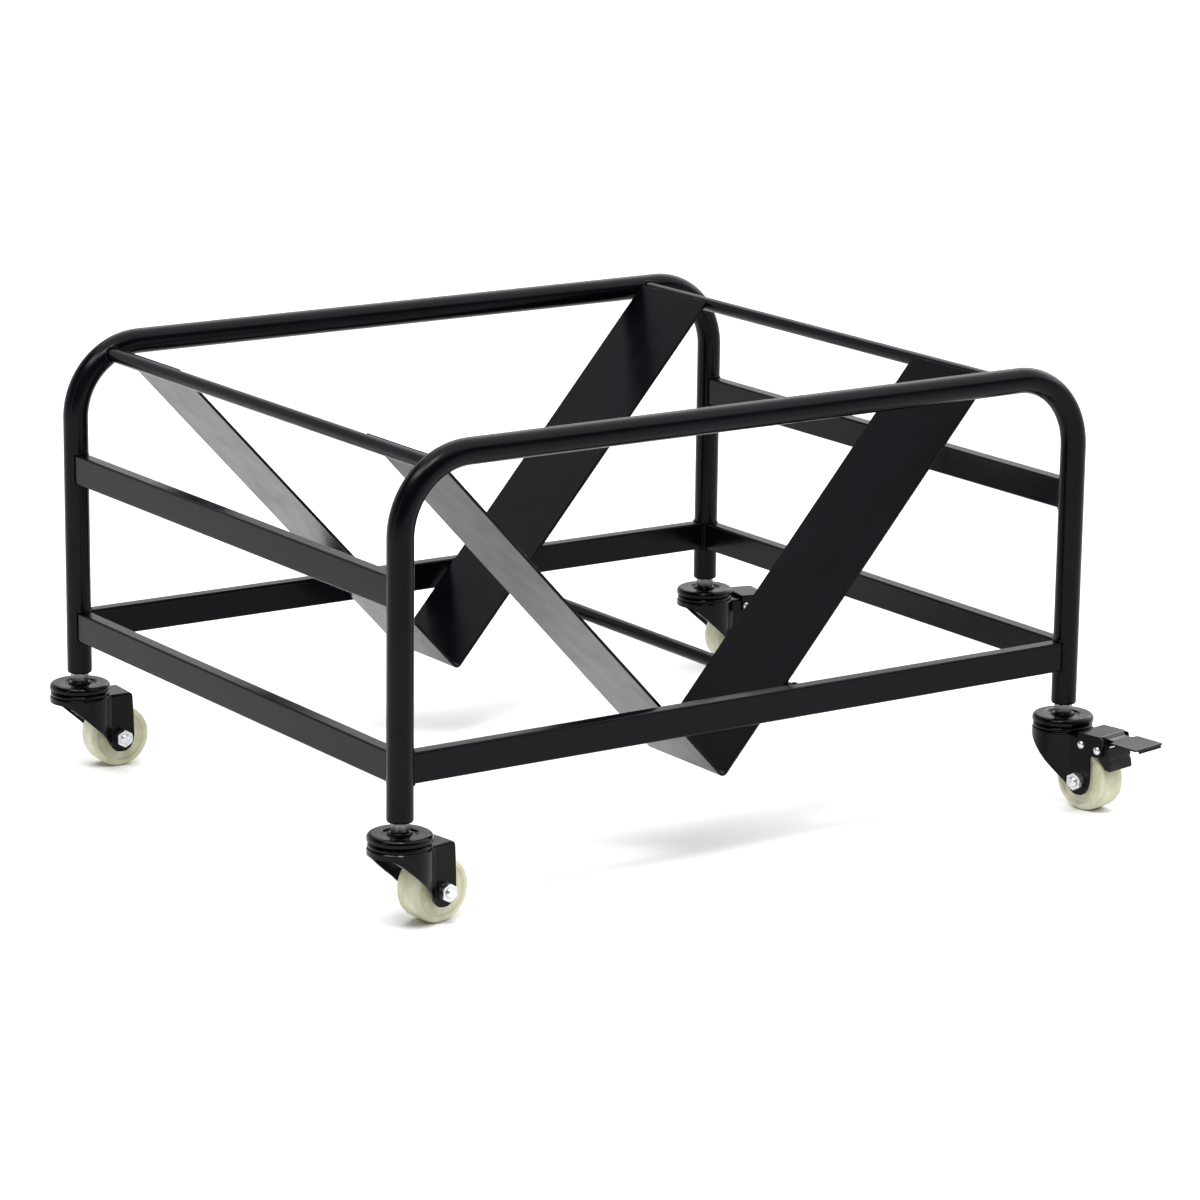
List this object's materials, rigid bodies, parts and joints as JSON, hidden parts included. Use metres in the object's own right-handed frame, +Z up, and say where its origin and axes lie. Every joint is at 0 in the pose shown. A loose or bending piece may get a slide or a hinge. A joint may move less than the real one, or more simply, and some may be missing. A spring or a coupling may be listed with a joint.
{
  "type": "drum dolly",
  "caption": "Low black tube-frame dolly on swivel castors, two with foot brakes, with bent plate V cradles that hold a drum on its side.",
  "frame": {"origin": "bottom centre of the bounding box, on the floor", "axes": "+X along the hoops, towards the braked castors; +Y from the near hoop to the far hoop; +Z up"},
  "size_m": [0.9296, 0.7688, 0.4512],
  "materials": {
    "frame_black": "semi-gloss black powder coat",
    "castor_black": "glossy black enamel",
    "zinc": "bright zinc plate",
    "nylon": "satin cream nylon",
    "brake_plastic": "matt black"
  },
  "bodies": {
    "frame": {"near_hoop": "frame_black", "far_hoop": "frame_black", "near_lower_rail": "frame_black", "far_lower_rail": "frame_black", "left_lower_rail": "frame_black", "left_mid_rail": "frame_black", "right_lower_rail": "frame_black", "right_mid_rail": "frame_black", "left_top_rod": "frame_black", "right_top_rod": "frame_black", "bottom_rod": "frame_black", "near_cradle": "frame_black", "far_cradle": "frame_black", "leg_insert_near_left": "frame_black", "stem_near_left": "zinc", "stem_nut_near_left": "zinc", "upper_race_near_left": "castor_black", "leg_insert_near_right": "frame_black", "stem_near_right": "zinc", "stem_nut_near_right": "zinc", "upper_race_near_right": "castor_black", "leg_insert_far_left": "frame_black", "stem_far_left": "zinc", "stem_nut_far_left": "zinc", "upper_race_far_left": "castor_black", "leg_insert_far_right": "frame_black", "stem_far_right": "zinc", "stem_nut_far_right": "zinc", "upper_race_far_right": "castor_black"},
    "fork_near_left": {"lower_race_near_left": "castor_black", "fork_near_left": "castor_black", "axle_bolt_near_left": "zinc", "axle_nut_near_left": "zinc"},
    "wheel_near_left": {"wheel_near_left": "nylon"},
    "fork_near_right": {"lower_race_near_right": "castor_black", "fork_near_right": "castor_black", "axle_bolt_near_right": "zinc", "axle_nut_near_right": "zinc", "pivot_pin_near_right": "zinc"},
    "wheel_near_right": {"wheel_near_right": "nylon"},
    "brake_near_right": {"pedal_near_right": "castor_black", "brake_block_near_right": "brake_plastic", "brake_spring_near_right": "zinc", "block_pin_near_right": "zinc"},
    "fork_far_left": {"lower_race_far_left": "castor_black", "fork_far_left": "castor_black", "axle_bolt_far_left": "zinc", "axle_nut_far_left": "zinc"},
    "wheel_far_left": {"wheel_far_left": "nylon"},
    "fork_far_right": {"lower_race_far_right": "castor_black", "fork_far_right": "castor_black", "axle_bolt_far_right": "zinc", "axle_nut_far_right": "zinc", "pivot_pin_far_right": "zinc"},
    "wheel_far_right": {"wheel_far_right": "nylon"},
    "brake_far_right": {"pedal_far_right": "castor_black", "brake_block_far_right": "brake_plastic", "brake_spring_far_right": "zinc", "block_pin_far_right": "zinc"}
  },
  "joints": [
    {"name": "swivel_near_left", "type": "hinge", "parent": "frame", "child": "fork_near_left", "pos_m": [-0.43386, -0.26959, 0.08], "axis": [0, 0, 1], "continuous": true},
    {"name": "roll_near_left", "type": "hinge", "parent": "fork_near_left", "child": "wheel_near_left", "pos_m": [-0.39615, -0.26496, 0.03175], "axis": [-0.1219, 0.9925, 0], "continuous": true},
    {"name": "swivel_near_right", "type": "hinge", "parent": "frame", "child": "fork_near_right", "pos_m": [0.35014, -0.26959, 0.08], "axis": [0, 0, 1], "continuous": true},
    {"name": "roll_near_right", "type": "hinge", "parent": "fork_near_right", "child": "wheel_near_right", "pos_m": [0.35673, -0.30701, 0.03175], "axis": [0.9848, 0.1736, 0], "continuous": true},
    {"name": "brake_near_right", "type": "hinge", "parent": "fork_near_right", "child": "brake_near_right", "pos_m": [0.35743, -0.31095, 0.07], "axis": [0.9848, 0.1736, 0], "range_deg": [0, 7]},
    {"name": "swivel_far_left", "type": "hinge", "parent": "frame", "child": "fork_far_left", "pos_m": [-0.43386, 0.35341, 0.08], "axis": [0, 0, 1], "continuous": true},
    {"name": "roll_far_left", "type": "hinge", "parent": "fork_far_left", "child": "wheel_far_left", "pos_m": [-0.39596, 0.35076, 0.03175], "axis": [0.0698, 0.9976, 0], "continuous": true},
    {"name": "swivel_far_right", "type": "hinge", "parent": "frame", "child": "fork_far_right", "pos_m": [0.35014, 0.35341, 0.08], "axis": [0, 0, 1], "continuous": true},
    {"name": "roll_far_right", "type": "hinge", "parent": "fork_far_right", "child": "wheel_far_right", "pos_m": [0.38731, 0.34551, 0.03175], "axis": [0.2079, 0.9781, 0], "continuous": true},
    {"name": "brake_far_right", "type": "hinge", "parent": "fork_far_right", "child": "brake_far_right", "pos_m": [0.39122, 0.34468, 0.07], "axis": [0.2079, 0.9781, 0], "range_deg": [0, 7]}
  ]
}
